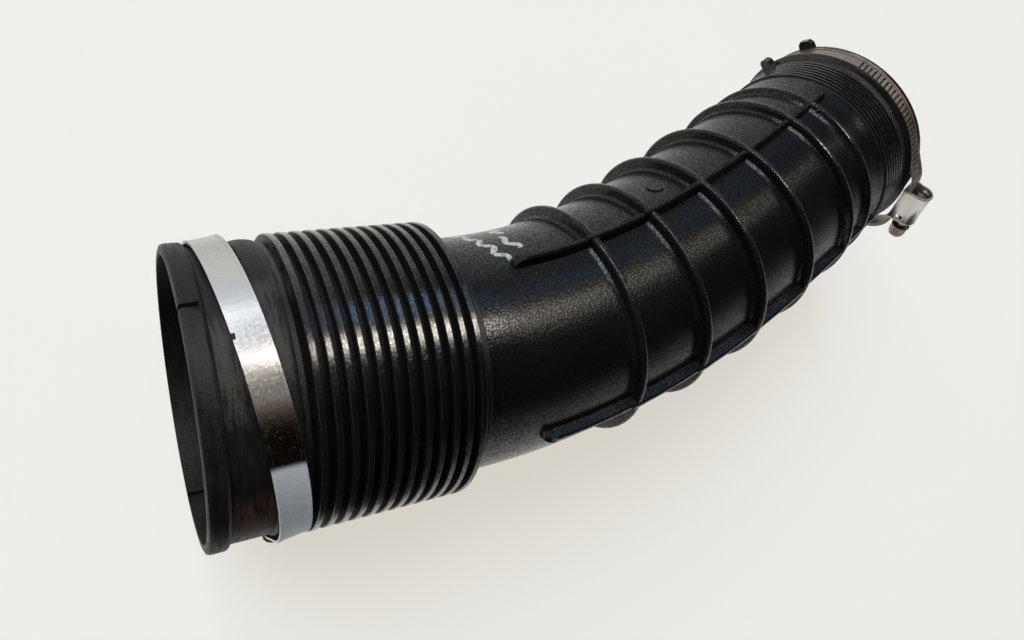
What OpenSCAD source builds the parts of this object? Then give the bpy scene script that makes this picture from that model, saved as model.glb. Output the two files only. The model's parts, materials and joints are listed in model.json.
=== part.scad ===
// Engine air intake duct: a bent, ribbed tube with a soft cuff on each end
// and a worm drive clamp on each cuff.
// The frame: the origin is the centre of the big mouth, +X runs into the duct,
// the tube bends towards +Y in the plane z = 0, and +Z is up as the duct lies.

/* [Duct line] */
// Distance from the big mouth to the start of the bend
bend_start = 86; // [84:1:96]
// Lengths of the bays between the hoops, from the start of the bend
bay_lengths = [53.1, 29, 28.4, 29.1, 28.9, 15.4];
// How far the tube turns in each bay, in degrees
bay_turns = [12.1, 5.6, 4.3, 3.0, 1.8, 0.6];
// Outer radius of the tube where it leaves the big cuff
tube_r = 40.2; // [39:0.1:40.4]
// How much wider than that the tube is in each bay, and after the last one
bay_swell = [0, 0.3, 0.6, 0.8, 0.8, 0.7, 0.6];
// Wall thickness of the tube
tube_wall = 2.2; // [1.6:0.1:2.6]

/* [Hoops and blades] */
// Outer radius of each hoop, from the big end
hoop_radii = [44.1, 44.6, 45.2, 45.1, 44.3, 43.2];
// Where the four lengthwise blades stand, in degrees from the inside of the bend
blade_angles = [49, 137, 223, 311];
// Distance from the big mouth to the nose of each blade
blade_start = 105; // [98:1:120]
// How far the blades stand up from the tube
blade_height = 4.2; // [3:0.1:4.6]
// Thickness of a blade at its crest
blade_crest = 2.2; // [1.6:0.1:3]
// Radius of the round moulding mark
mark_r = 3.4; // [2:0.1:5]

/* [Big cuff] */
// Length of the whole big cuff
cuff_len = 82; // [80.5:0.5:84]
// Outer radius of the mouth lip
lip_r = 45.5; // [44.8:0.1:45.6]
// Length of the mouth lip
lip_len = 6.2; // [5:0.1:6.4]
// Radius of the bore that slides over the air box pipe
big_bore_r = 42.5; // [42:0.1:42.6]
// Radius of the clamp seat
seat_r = 44; // [43.6:0.1:44.2]
// Radius over the stop bead behind the seat
bead_r = 45; // [44.4:0.1:45]
// Number of flat topped fins
fin_count = 12; // [6:1:12]
// Distance between two fins
fin_pitch = 4.28; // [4:0.02:4.3]
// Outer radius of the fins
fin_r = 46.25; // [45.5:0.05:47]
// Width of a fin's flat top
fin_land = 2.0; // [1.4:0.1:2.4]

/* [Small cuff] */
// Radius of the bore that slides over the engine pipe
small_bore_r = 38.6; // [38.2:0.1:39]
// Length of the small cuff
small_len = 29; // [28.5:0.5:31]
// Number of fine grip ribs
grip_count = 7; // [4:1:7]
// Outer radius of the grip ribs
grip_r = 41.8; // [41.6:0.1:42.2]
// Outer radius of the end lip
small_lip_r = 42; // [41.8:0.1:42.4]

/* [Clamps] */
// Width of the big clamp's band
big_band_w = 9; // [8:0.1:9]
// Width of the small clamp's band
small_band_w = 8; // [7:0.1:8]
// Thickness of the band strip
band_t = 0.7; // [0.6:0.05:0.8]
// Inner radius of the loose band on the big cuff
big_band_r = 45.9; // [45.9:0.05:46.2]
// How far the loose band leans over, in degrees
big_band_lean = 7.8; // [7.4:0.1:8]
// Inner radius of the band on the small cuff
small_band_r = 41; // [40.95:0.05:41.2]
// How far the small clamp's housing stands off its cuff
small_stand_off = 3.5; // [3.4:0.1:4]
// Width across the flats of both hex heads
hex_af = 7; // [6:0.5:7]

/* [Hidden] */
$fn = 96;
eps = 0.01;

// The bend: each bay is an arc, then a short straight that carries its hoop
bays = len(bay_lengths);
hoop_half = 2.9;
// A straight is this much fuller than the arcs it joins
join = 0.08;
overlap = 0.4;
function sum_to(list, n) = n <= 0 ? 0 : list[n - 1] + sum_to(list, n - 1);
function bay_pos(i) = bend_start + sum_to(bay_lengths, i);
function bay_heading(i) = sum_to(bay_turns, i);
function arc_length(i) = bay_lengths[i] - 2 * hoop_half;
function arc_radius(i) = arc_length(i) / (bay_turns[i] * PI / 180);
function turned(v, a) = [v.x * cos(a) - v.y * sin(a), v.x * sin(a) + v.y * cos(a)];
// Point reached in bay i after u millimetres, seen from that bay's start
function bay_turned(i, u) = bay_turns[i] * min(1, u / arc_length(i));
function bay_step(i, u) =
    arc_radius(i) * [sin(bay_turned(i, u)), 1 - cos(bay_turned(i, u))]
    + turned([max(0, u - arc_length(i)), 0], bay_turned(i, u));
function bay_point(i) =
    i == 0 ? [bend_start, 0]
           : bay_point(i - 1) + turned(bay_step(i - 1, bay_lengths[i - 1]), bay_heading(i - 1));
function bay_at(s, i = 0) = i < bays && s >= bay_pos(i + 1) ? bay_at(s, i + 1) : i;
function hoop_pos(i) = bay_pos(i + 1) - hoop_half;
function line_heading(s) =
    s < bend_start ? 0
    : s >= bay_pos(bays) ? bay_heading(bays)
    : bay_heading(bay_at(s)) + bay_turned(bay_at(s), s - bay_pos(bay_at(s)));
function line_point(s) =
    s < bend_start ? [s, 0]
    : s >= bay_pos(bays) ? bay_point(bays) + turned([s - bay_pos(bays), 0], bay_heading(bays))
    : bay_point(bay_at(s)) + turned(bay_step(bay_at(s), s - bay_pos(bay_at(s))), bay_heading(bay_at(s)));

function bay_r(i) = tube_r + bay_swell[i];
bore_r = tube_r - tube_wall;
blade_tail = 5.8;
bend_end = bay_pos(bays);

// Big cuff stations along X
bead_from = 18;
bead_to = 25.6;
fin_first = 29.7;
fin_root_r = 42.6;
fin_slope = 0.15;
bore_end = 25;
tube_end = 67;
collar_r = 41.6;
slit_angle = 55;
slit_w = 1.4;
slit_len = 5;
key_angle = 216;
key_size = [5.5, 1.4, 5];

// Small end stations, measured from the shoulder where the small cuff starts
shoulder_pos = 281.4;
shoulder_r = 41;
spigot_r = 39.2;
spigot_wall = 2;
spigot_len = 14.5;
grip_pitch = 1.95;
grip_first = 1.4;
grip_half = 0.55;
small_wall_r = 41;
small_seat_r = 40.9;
stop_from = 16.6;
stop_crest = 18.2;
stop_r = 43.4;
small_seat_from = 18.8;
small_lip_from = 27.1;
small_clamp_pos = shoulder_pos + small_seat_from + small_band_w / 2 + 0.1;
tab_angles = [-5, 11];

// Clamp stations, in the clamp's own frame
layer_gap = 0.1;
outer_layer = band_t + layer_gap;
edge_w = 0.9;
edge_rise = 0.2;
flat_half = 8.7;
corner_r = 12;
big_stand_off = 2.3;
big_clamp_centre = [17.5, 0, 0.6];
big_housing_angle = 210;
small_housing_angle = 140;
small_shift = 5.4;
tail_angle = 8;
big_slots = 15;
small_slots = 33;
tail_slots = 14;
slot_pitch = 2.2;
slot_lean = 5;
slot_size = [0.9, 5];
worm_r = 4.2;
worm_clear = 0.25;
housing_half = 8.5;
housing_side = 0.8;
housing_shell_r = 5.4;
housing_cavity_r = 4.5;
neck_r = 3;
tip_r = 2.4;
run_clear = 0.1;
flange_r = 4.25;
flange_h = 0.8;
neck_out = 3.6;
head_h = 6;

// Puts its children on the duct's centre line at distance s, facing along it
module along(s) {
    translate([line_point(s).x, line_point(s).y, 0])
        rotate([0, 0, line_heading(s)])
            children();
}

// Spins a profile of [radius, distance] points about the duct's line
module turned_on_line() {
    rotate([0, 90, 0])
        rotate_extrude()
            children();
}

// Turns its children from standing on the side of the bend to the given angle
module at_angle(phi) {
    rotate([phi, 0, 0])
        children();
}

// Half circle of points between two stations, for a rounded bead
function bead_points(from, to, base_r, top_r, steps = 8) =
    [for (k = [0 : steps])
        [base_r + (top_r - base_r) * sin(180 * k / steps),
         (from + to) / 2 - (to - from) / 2 * cos(180 * k / steps)]];

// Section across the tube
module tube_section(i) {
    difference() {
        circle(bay_r(i));
        circle(bay_r(i) - tube_wall);
    }
}

// Sections of the blades: angles run from the inside of the bend to the top
module blade_sections(i, angles, grow = 0) {
    root = blade_crest / 2 + 0.4 + grow;
    crest = blade_crest / 2 + grow;
    top = bay_r(i) + blade_top(i) + grow;
    for (phi = angles)
        rotate(phi)
            polygon([[bay_r(i) - 0.7, -root], [top - 0.6, -crest], [top, -crest + 0.6],
                     [top, crest - 0.6], [top - 0.6, crest], [bay_r(i) - 0.7, root]]);
}

module swept_blades(i) {
    blade_sections(i, [for (phi = blade_angles) 180 - phi]);
}

// The blades get lower with the hoops towards the small end
function blade_top(i) = min(blade_height, hoop_radii[min(i, bays - 1)] - bay_r(i) - 0.15);

// Sweeps a section along the arc of bay i, from the share t0 of its turn on,
// a little way into the straights at both ends. The section's x runs to the
// outside of the bend and its y up.
module arc_stretch(i, t0 = 0) {
    radius = arc_radius(i);
    more = overlap / radius * 180 / PI;
    from = t0 > 0 ? bay_turns[i] * t0 : -more;
    translate([bay_point(i).x, bay_point(i).y, 0])
        rotate([0, 0, bay_heading(i)])
            translate([0, radius, 0])
                rotate([0, 0, from - 90])
                    rotate_extrude(angle = bay_turns[i] + more - from, $fn = 360)
                        translate([radius, 0])
                            children();
}

// A hoop: a rounded rib right round the straight that joins two bays
module hoop(i) {
    top = hoop_radii[i];
    near = bay_r(i);
    far = bay_r(i + 1);
    along(hoop_pos(i)) {
        turned_on_line()
            polygon([[near - tube_wall - join, -hoop_half], [near + join, -hoop_half], [near + 0.75, -1.8],
                     [top - 0.7, -1.3], [top - 0.15, -0.8], [top, -0.3],
                     [top, 0.3], [top - 0.15, 0.8], [top - 0.7, 1.3],
                     [far + 0.75, 1.8], [far + join, hoop_half], [far - tube_wall - join, hoop_half]]);
        blade_stretch(i + 1, -hoop_half, hoop_half);
    }
}

module blade_stretch(i, from, to) {
    translate([from, 0, 0])
        rotate([90, 0, 90])
            linear_extrude(to - from)
                blade_sections(i, blade_angles, join);
}

// The rounded front end of a blade
module blade_nose(phi) {
    along(blade_start)
        at_angle(phi)
            translate([0, bay_r(0) - 0.3, 0])
                rotate([0, 0, 90])
                    rotate_extrude(angle = 90)
                        translate([0, -blade_crest / 2 - 0.2])
                            square([blade_top(0) + 0.2, blade_crest + 0.4]);
}

module duct_tube() {
    nose_share = (blade_start - bend_start) / arc_length(0);
    color([0.06, 0.06, 0.065]) {
        along(tube_end)
            turned_on_line()
                translate([bore_r - join, 0])
                    square([tube_wall + 2 * join, bend_start - tube_end]);
        arc_stretch(0)
            tube_section(0);
        arc_stretch(0, nose_share)
            swept_blades(0);
        for (i = [1 : bays - 1])
            arc_stretch(i) {
                tube_section(i);
                swept_blades(i);
            }
        for (i = [0 : bays - 1])
            hoop(i);
        for (phi = blade_angles)
            blade_nose(phi);
        shoulder_end();
        moulding_mark();
    }
}

// The tube flares to a shoulder, then steps down to the spigot inside the cuff
module shoulder_end() {
    flare = shoulder_pos - bend_end;
    end = flare + spigot_len;
    inner = bay_r(bays) - tube_wall;
    along(bend_end) {
        turned_on_line()
            polygon([[inner, -overlap], [bay_r(bays), -overlap], [bay_r(bays), flare - 5],
                     [shoulder_r, flare - 1.5], [shoulder_r, flare], [spigot_r, flare],
                     [spigot_r, end], [spigot_r - spigot_wall, end],
                     [spigot_r - spigot_wall, flare + 1], [inner, flare - 4]]);
        blade_stretch(bays, -overlap, blade_tail);
    }
}

module moulding_mark() {
    along(181.5)
        at_angle(33)
            rotate([-90, 0, 0])
                translate([0, 0, bay_r(2) - 1])
                    cylinder(r = mark_r, h = 1.5);
}

// Outline of one fin, from its root at the mouth side to its root at the far side
function fin_points(k) =
    let (mid = fin_first + k * fin_pitch, half = fin_land / 2)
    [[fin_root_r, mid - half - fin_slope], [fin_r - 0.25, mid - half],
     [fin_r, mid - half + 0.25], [fin_r, mid + half - 0.25],
     [fin_r - 0.25, mid + half], [fin_root_r, mid + half + fin_slope]];

module big_cuff() {
    last_fin = fin_first + (fin_count - 1) * fin_pitch + fin_land / 2;
    outer = concat(
        [[lip_r - 1.2, 0], [lip_r - 0.35, 0.35], [lip_r, 1.2], [lip_r, lip_len - 1.2],
         [lip_r - 0.5, lip_len - 0.4], [seat_r, lip_len], [seat_r, bead_from]],
        bead_points(bead_from, bead_to, seat_r, bead_r),
        [[seat_r, bead_to + 1.4]],
        [for (k = [0 : fin_count - 1]) each fin_points(k)],
        [[collar_r + 0.3, last_fin + 0.9], [collar_r, last_fin + 1.8],
         [collar_r, cuff_len - 0.4], [collar_r - 0.4, cuff_len]]);
    inner = [[tube_r + join, cuff_len], [tube_r + join, bore_end + 2.3],
             [big_bore_r, bore_end], [big_bore_r, 0]];
    color([0.13, 0.12, 0.11])
        difference() {
            turned_on_line()
                polygon(concat(outer, inner));
            at_angle(slit_angle)
                translate([-1, big_bore_r - 1, -slit_w / 2])
                    cube([slit_len + 1, 6, slit_w]);
            at_angle(key_angle)
                translate([-1, big_bore_r - 1, -key_size.z / 2])
                    cube([key_size.x + 1, key_size.y + 1, key_size.z]);
        }
}

module small_cuff() {
    grips = [for (k = [0 : grip_count - 1])
                let (mid = grip_first + k * grip_pitch)
                each [[small_wall_r, mid - grip_half], [grip_r, mid - grip_half / 2],
                      [grip_r, mid + grip_half / 2], [small_wall_r, mid + grip_half]]];
    outer = concat(
        [[small_wall_r, 0]],
        grips,
        [[small_wall_r, stop_from - 0.6], [small_wall_r + 0.5, stop_from],
         [stop_r - 0.6, stop_crest - 0.7], [stop_r, stop_crest - 0.1], [stop_r, stop_crest + 0.3],
         [stop_r - 0.4, small_seat_from], [small_seat_r, small_seat_from],
         [small_seat_r, small_lip_from], [small_lip_r - 0.3, small_lip_from],
         [small_lip_r, small_lip_from + 0.4], [small_lip_r, small_len - 0.6],
         [small_lip_r - 0.6, small_len]]);
    inner = [[small_bore_r + 0.5, small_len], [small_bore_r, small_len - 0.6],
             [small_bore_r, spigot_len], [spigot_r, spigot_len], [spigot_r, 0]];
    color([0.16, 0.15, 0.14])
        along(shoulder_pos) {
            turned_on_line()
                polygon(concat(outer, inner));
            clamp_stop_tab(tab_angles[0], stop_from - 3.6, 4, 5, small_wall_r, 46.6);
            clamp_stop_tab(tab_angles[1], small_len - 1.8, 2.4, 7.5, small_lip_r - 1, 45.4);
        }
}

// A moulded nub that keeps the clamp from sliding off
module clamp_stop_tab(phi, from, length, width, r_foot, r_top) {
    at_angle(phi)
        translate([from, 0, 0])
            rotate([90, 0, 90])
                linear_extrude(length)
                    polygon([[r_foot - 0.8, -width / 2], [r_top - 1.2, -width / 2 + 0.6],
                             [r_top, -width / 2 + 1.6], [r_top, width / 2 - 2.2],
                             [r_top - 1.4, width / 2 - 0.6], [r_foot - 0.8, width / 2]]);
}

// Clamps: drawn with the band's axis on Z and the housing on +X, the hex head
// towards +Y. The band is one strip: its fixed end lies flat under the housing,
// it runs round the cuff, comes back as the outer layer under the worm, and its
// tail lies on the strip's own start.

// Points along an arc, each with the direction of its outward normal
function arc_points(centre, r, from, to, steps) =
    [for (k = [0 : steps])
        let (a = from + (to - from) * k / steps)
        [centre.x + r * cos(a), centre.y + r * sin(a), a]];

// Where the flat under the housing ends, how far the corner's arc then turns,
// and how long the straight run is from there to the band's circle
function corner_at(flat_x, end) = [flat_x - corner_r, end];
function corner_turn(r, flat_x, end) =
    atan2(end, flat_x - corner_r) + acos((r - corner_r) / norm(corner_at(flat_x, end)));
function run_length(r, flat_x, end) =
    norm(corner_at(flat_x, end))
    * sin(corner_turn(r, flat_x, end) - atan2(end, flat_x - corner_r));

// Point and direction d millimetres along the strip from the housing's middle
function strip_at(r, flat_x, end, d) =
    let (turn = corner_turn(r, flat_x, end),
         past = d - flat_half,
         corner = corner_r * turn * PI / 180,
         run = run_length(r, flat_x, end))
    past < 0 ? [flat_x, end + past, 0]
    : past < corner ?
        arc_points(corner_at(flat_x, end), corner_r, past / corner_r * 180 / PI, 0, 1)[0]
    : past < corner + run ?
        let (left = corner + run - past)
        [r * cos(turn) + left * sin(turn), r * sin(turn) - left * cos(turn), turn]
    : arc_points([0, 0], r, turn + (past - corner - run) / r * 180 / PI, 0, 1)[0];

// A strip of the given thickness on the outside of a path
module strip(path, t) {
    inner = [for (p = path) [p.x, p.y]];
    outer = [for (k = [len(path) - 1 : -1 : 0])
                let (p = path[k])
                [p.x + t * cos(p.z), p.y + t * sin(p.z)]];
    polygon(concat(inner, outer));
}

module clamp_band(r, stand_off, shift, band_w, slots) {
    low_x = r + stand_off;
    high_x = low_x + outer_layer;
    head_end = flat_half + shift;
    tip_end = flat_half - shift;
    head_turn = corner_turn(r, low_x, head_end);
    tip_turn = corner_turn(r, high_x, tip_end);
    path = concat(
        [[low_x, -tip_end, 0]],
        arc_points(corner_at(low_x, head_end), corner_r, 0, head_turn, 16),
        arc_points([0, 0], r, head_turn, 360 - tip_turn, 110),
        arc_points(corner_at(high_x, -tip_end), corner_r, -tip_turn, 0, 12),
        arc_points(corner_at(low_x, head_end), corner_r + outer_layer, 0, head_turn, 16),
        arc_points([0, 0], r + outer_layer, head_turn, head_turn + tail_angle, 8));
    edge_path = arc_points([0, 0], r + band_t - 0.2, head_turn + tail_angle + 4,
                           360 - tip_turn - 2, 110);
    difference() {
        union() {
            translate([0, 0, -band_w / 2])
                linear_extrude(band_w)
                    strip(path, band_t);
            for (z = [-band_w / 2, band_w / 2 - edge_w])
                translate([0, 0, z])
                    linear_extrude(edge_w)
                        strip(edge_path, 0.2 + edge_rise);
        }
        for (k = [0 : slots - 1])
            band_slot(strip_at(r, high_x, tip_end, (k + 0.5) * slot_pitch), -1);
        for (k = [0 : tail_slots - 1])
            band_slot(strip_at(r + outer_layer, high_x, head_end, (k + 0.5) * slot_pitch), 1);
    }
}

// One of the slots that the worm's thread runs in
module band_slot(place, side) {
    translate([place.x, side * place.y, 0])
        rotate([0, 0, side * place.z])
            rotate([slot_lean, 0, 0])
                translate([-0.05, -slot_size.x / 2, -slot_size.y / 2])
                    cube([band_t + 1, slot_size.x, slot_size.y]);
}

function worm_x(r, stand_off) = r + stand_off + outer_layer + band_t + worm_r + worm_clear;

// The stamped housing: a bridge round both layers of the strip and the worm
module clamp_housing(r, stand_off, band_w) {
    half_w = band_w / 2 + housing_side;
    low = r + stand_off;
    top = low + outer_layer + band_t;
    axis = worm_x(r, stand_off);
    difference() {
        translate([0, housing_half, 0])
            rotate([90, 0, 0])
                linear_extrude(2 * housing_half) {
                    translate([low - 0.9, -half_w])
                        square([top - low + 1.6, 2 * half_w]);
                    translate([axis, 0])
                        circle(housing_shell_r);
                    polygon([[top + 0.6, -half_w], [axis + 0.6, -housing_shell_r + 0.05],
                             [axis + 0.6, housing_shell_r - 0.05], [top + 0.6, half_w]]);
                }
        translate([low - 0.1, -housing_half - 1, -band_w / 2 - 0.1])
            cube([top - low + 0.2, 2 * housing_half + 2, band_w + 0.2]);
        translate([top, -housing_half + 0.9, -housing_cavity_r])
            cube([axis - top, 2 * housing_half - 1.8, 2 * housing_cavity_r]);
        translate([axis, housing_half - 0.9, 0])
            rotate([90, 0, 0])
                cylinder(r = housing_cavity_r, h = 2 * housing_half - 1.8);
        translate([axis, housing_half + 1, 0])
            rotate([90, 0, 0])
                cylinder(r = neck_r + run_clear, h = 3);
        translate([axis, -housing_half + 2, 0])
            rotate([90, 0, 0])
                cylinder(r = tip_r + run_clear, h = 4);
        housing_windows(top, axis, half_w);
    }
}

// The gap in each side wall beside the worm, near the head
module housing_windows(top, axis, half_w) {
    for (side = [-1, 1])
        translate([top + 0.4, housing_half - 3.6, side * half_w - 1.6])
            cube([axis - top - 0.6, 2.4, 3.2]);
}

// The worm screw with its slotted hex head, turning on the housing's end walls
module clamp_screw(r, stand_off) {
    head_from = housing_half + run_clear + neck_out;
    body_from = -housing_half + 1;
    body_to = housing_half - 1;
    translate([worm_x(r, stand_off), 0, 0])
        rotate([-90, 0, 0]) {
            translate([0, 0, body_from])
                cylinder(r = worm_r, h = body_to - body_from);
            translate([0, 0, body_to - eps])
                cylinder(r = neck_r, h = head_from - body_to + 2 * eps);
            translate([0, 0, -housing_half - 0.8])
                cylinder(r = tip_r, h = body_from + housing_half + 0.8 + eps);
            translate([0, 0, head_from])
                cylinder(r = flange_r, h = flange_h);
            difference() {
                translate([0, 0, head_from])
                    cylinder(r = hex_af / sqrt(3), h = head_h, $fn = 6);
                translate([-flange_r, -0.5, head_from + head_h - 1.4])
                    cube([2 * flange_r, 1, 2]);
            }
        }
}

// The big clamp hangs loose and askew; its head points to the bend's outside
module on_big_cuff() {
    translate(big_clamp_centre)
        rotate([0, 0, big_band_lean])
            rotate([big_housing_angle, 0, 0])
                rotate([0, 90, 0])
                    rotate([0, 0, 90])
                        children();
}

module on_small_cuff() {
    along(small_clamp_pos)
        rotate([small_housing_angle, 0, 0])
            rotate([0, 90, 0])
                rotate([0, 0, 90])
                    children();
}

module big_clamp_band() {
    color([0.78, 0.78, 0.76])
        on_big_cuff()
            clamp_band(big_band_r, big_stand_off, 0, big_band_w, big_slots);
}

module big_clamp_housing() {
    color([0.74, 0.74, 0.72])
        on_big_cuff()
            clamp_housing(big_band_r, big_stand_off, big_band_w);
}

module big_clamp_screw() {
    color([0.66, 0.65, 0.6])
        on_big_cuff()
            clamp_screw(big_band_r, big_stand_off);
}

module small_clamp_band() {
    color([0.72, 0.7, 0.64])
        on_small_cuff()
            clamp_band(small_band_r, small_stand_off, small_shift, small_band_w, small_slots);
}

module small_clamp_housing() {
    color([0.8, 0.79, 0.76])
        on_small_cuff()
            translate([0, small_shift, 0])
                clamp_housing(small_band_r, small_stand_off, small_band_w);
}

module small_clamp_screw() {
    color([0.62, 0.6, 0.55])
        on_small_cuff()
            translate([0, small_shift, 0])
                clamp_screw(small_band_r, small_stand_off);
}

duct_tube();
big_cuff();
small_cuff();
big_clamp_band();
big_clamp_housing();
big_clamp_screw();
small_clamp_band();
small_clamp_housing();
small_clamp_screw();
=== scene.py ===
# %% [markdown]
# # Dressing a bent air intake duct
# The solids of the duct come in as a fixed frame: a hard tube, two soft cuffs and two worm drive
# clamps. This lesson gives each of them its finish, adds the small shapes that a moulder and a
# press leave behind, and sets up a pale table with plain soft light.

import json
import math
import random

import bpy
from mathutils import Matrix, Vector


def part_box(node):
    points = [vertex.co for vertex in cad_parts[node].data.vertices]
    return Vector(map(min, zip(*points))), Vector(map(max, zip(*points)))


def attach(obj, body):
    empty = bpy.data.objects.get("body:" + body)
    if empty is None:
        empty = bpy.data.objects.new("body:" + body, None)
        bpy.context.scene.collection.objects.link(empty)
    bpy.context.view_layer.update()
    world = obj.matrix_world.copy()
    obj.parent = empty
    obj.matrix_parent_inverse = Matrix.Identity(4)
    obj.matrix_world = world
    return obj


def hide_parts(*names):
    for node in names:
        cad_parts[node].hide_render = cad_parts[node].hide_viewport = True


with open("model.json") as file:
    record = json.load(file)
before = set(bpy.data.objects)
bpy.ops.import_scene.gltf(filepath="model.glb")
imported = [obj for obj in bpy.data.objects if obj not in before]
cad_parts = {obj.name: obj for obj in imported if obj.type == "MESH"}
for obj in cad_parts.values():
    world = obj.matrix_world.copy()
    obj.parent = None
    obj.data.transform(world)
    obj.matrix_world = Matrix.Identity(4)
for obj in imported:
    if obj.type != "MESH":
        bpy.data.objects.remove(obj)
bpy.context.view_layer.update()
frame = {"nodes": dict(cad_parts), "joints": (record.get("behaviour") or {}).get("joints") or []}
nodes = frame["nodes"]
print("solids:", sorted(nodes))

# %% [markdown]
# ## Where things are
# The duct lies on its side. Its mouth is at the origin and its line runs along +X, then bends
# towards +Y. Two places on that line are enough for all marks: the big end, where the line is
# straight, and the small end, where it has turned by some 27 degrees. A mark is placed by the
# distance along such a line and by the angle round it, counted from the inside of the bend over
# the top, because that is how one would measure it on the real part with a tape.

# %% Places and sizes, in metres and degrees
MM, PER_METRE = 0.001, 1000
BIG_END = (Vector((0, 0, 0)), 0.0)
SMALL_END = (Vector((269.66, 60.6, 0)) * MM, 27.4)
FLOOR_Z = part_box("big_cuff")[0].z
print("floor at", round(FLOOR_Z, 5))

# %% [markdown]
# ## Writing node trees briefly
# A material is a tree of nodes, and writing each link by hand hides what it does. One helper adds a
# node, and sets or links each input that is named in the call. Smaller helpers stand for the steps
# that come again and again: a bit of arithmetic on numbers or on vectors, a soft step between two
# values, a noise, and a mix of two colours.

# %% Helpers for nodes
def set_input(tree, socket, value):
    if isinstance(value, bpy.types.NodeSocket):
        tree.links.new(value, socket)
    else:
        socket.default_value = value


def set_inputs(tree, node, **values):
    for name, value in values.items():
        set_input(tree, node.inputs[name.replace("_", " ")], value)


def add_node(tree, kind, settings=None, **inputs):
    made = tree.nodes.new("ShaderNode" + kind)
    for name, value in (settings or {}).items():
        setattr(made, name, value)
    set_inputs(tree, made, **inputs)
    return made


def arithmetic(tree, operation, *values, clamp=False):
    made = tree.nodes.new("ShaderNodeMath")
    made.operation = operation
    made.use_clamp = clamp
    for socket, value in zip(made.inputs, values):
        set_input(tree, socket, value)
    return made.outputs[0]


def vector_maths(tree, operation, *values):
    made = add_node(tree, "VectorMath", {"operation": operation})
    for socket, value in zip(made.inputs, values):
        set_input(tree, socket, value)
    return made.outputs


def noise(tree, place, scale, detail, roughness):
    made = add_node(tree, "TexNoise", Vector=place, Scale=scale, Detail=detail,
                    Roughness=roughness)
    return made.outputs[0]


def soft_step(tree, value, start, end, low=0.0, high=1.0):
    made = add_node(tree, "MapRange", {"interpolation_type": "SMOOTHSTEP"},
                    Value=value, From_Min=start, From_Max=end, To_Min=low, To_Max=high)
    return made.outputs["Result"]


def mix_colours(tree, share, first, second, blend="MIX"):
    made = tree.nodes.new("ShaderNodeMix")
    made.data_type = "RGBA"
    made.blend_type = blend
    set_input(tree, made.inputs[0], share)
    set_input(tree, made.inputs[6], first)
    set_input(tree, made.inputs[7], second)
    return made.outputs[2]


def new_group(name, inputs, outputs):
    tree = bpy.data.node_groups.new(name, "ShaderNodeTree")
    for socket, kind, default in inputs:
        made = tree.interface.new_socket(socket, in_out="INPUT", socket_type="NodeSocket" + kind)
        made.default_value = default
    for socket, kind in outputs:
        tree.interface.new_socket(socket, in_out="OUTPUT", socket_type="NodeSocket" + kind)
    entry = tree.nodes.new("NodeGroupInput")
    leave = tree.nodes.new("NodeGroupOutput")
    return tree, entry.outputs, leave.inputs


def use_group(tree, group, **inputs):
    made = tree.nodes.new("ShaderNodeGroup")
    made.node_tree = group
    set_inputs(tree, made, **inputs)
    return made.outputs


print("helpers ready")

# %% [markdown]
# ## Tape measure coordinates
# Marks such as a rub on a band or grime behind a bead sit at a known angle and distance. This group
# turns the object's own coordinates into millimetres along the duct, millimetres from its line and
# degrees round it. Its fourth output is the unrolled surface, in millimetres, which keeps streaks
# running round a band in place of across it.

# %% Group: round the line
MEAN_R = 45  # millimetres, turns an angle round the duct into a length


def make_round_the_line():
    tree, given, out = new_group(
        "round_the_line",
        [("Origin", "Vector", (0, 0, 0)), ("Heading", "Float", 0.0)],
        [("Along", "Float"), ("Radius", "Float"), ("Angle", "Float"), ("Unrolled", "Vector")])
    place = add_node(tree, "TexCoord").outputs["Object"]
    moved = vector_maths(tree, "SUBTRACT", place, given["Origin"])["Vector"]
    back = arithmetic(tree, "MULTIPLY", given["Heading"], -math.pi / 180)
    turned = add_node(tree, "VectorRotate", {"rotation_type": "Z_AXIS"}, Vector=moved, Angle=back)
    axes = add_node(tree, "SeparateXYZ", Vector=turned.outputs[0]).outputs
    along = arithmetic(tree, "MULTIPLY", axes["X"], PER_METRE)
    square = arithmetic(tree, "MULTIPLY_ADD", axes["Y"], axes["Y"],
                        arithmetic(tree, "MULTIPLY", axes["Z"], axes["Z"]))
    radius = arithmetic(tree, "MULTIPLY", arithmetic(tree, "SQRT", square), PER_METRE)
    turn = arithmetic(tree, "ARCTAN2", axes["Z"], axes["Y"])
    degrees = arithmetic(tree, "MULTIPLY", turn, 180 / math.pi)
    below = arithmetic(tree, "LESS_THAN", degrees, 0.0)
    positive = arithmetic(tree, "ADD", degrees, arithmetic(tree, "MULTIPLY", below, 360))
    around = arithmetic(tree, "MULTIPLY", turn, MEAN_R)
    unrolled = add_node(tree, "CombineXYZ", X=along, Y=around, Z=radius)
    for name, value in (("Along", along), ("Radius", radius), ("Angle", positive),
                        ("Unrolled", unrolled.outputs[0])):
        tree.links.new(value, out[name])
    return tree


ROUND_THE_LINE = make_round_the_line()
print("group:", ROUND_THE_LINE.name)

# %% [markdown]
# ## Moulded grain
# A moulding tool is etched, so the plastic and the rubber carry a fine pebbled grain. It is what
# breaks a highlight into sparks on this tube. Cells stand for the pebbles, since each cell's top
# catches the lamp as one spark, and a fine noise makes them uneven and holds the dust.

# %% Group: moulded grain
FINER = 1.7  # how much finer the noise is than the pebbles


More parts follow.
